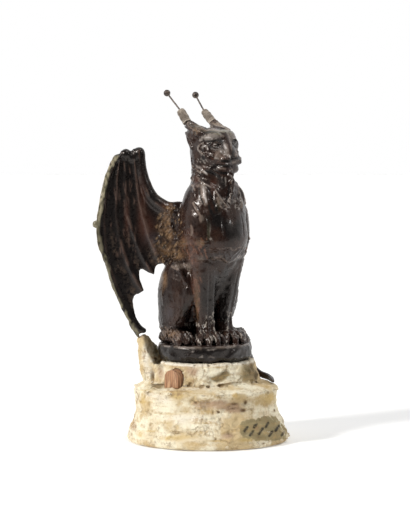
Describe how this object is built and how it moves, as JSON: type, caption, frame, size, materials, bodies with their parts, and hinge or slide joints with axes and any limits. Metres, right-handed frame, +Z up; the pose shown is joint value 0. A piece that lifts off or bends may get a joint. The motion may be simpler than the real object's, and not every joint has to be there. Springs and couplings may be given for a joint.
{
  "type": "seated winged chimera statuette on a plinth",
  "caption": "Seated winged feline chimera with bat wings and horns on its own slab, standing on a round stepped plaster plinth that props the wing tips.",
  "frame": {"origin": "middle of the plinth's flat underside", "axes": "+Z up, the figure faces -Y, its right side is -X"},
  "size_m": [0.1374, 0.1221, 0.2637],
  "materials": {
    "plaster": "rough cream plaster with ochre and brown stains",
    "patina": "glossy dark brown patina on plaster, worn pale on the edges",
    "key_wood": "dry reddish wood, upright grain",
    "horn_sleeve": "worn greyish brown, matt",
    "pin_iron": "dark oxidised iron"
  },
  "bodies": {
    "root": {"plinth": "plaster", "chimera": "patina", "wooden_key": "key_wood", "horn_cap_right": "horn_sleeve", "horn_cap_left": "horn_sleeve", "pin_right": "pin_iron", "pin_left": "pin_iron"}
  },
  "joints": []
}
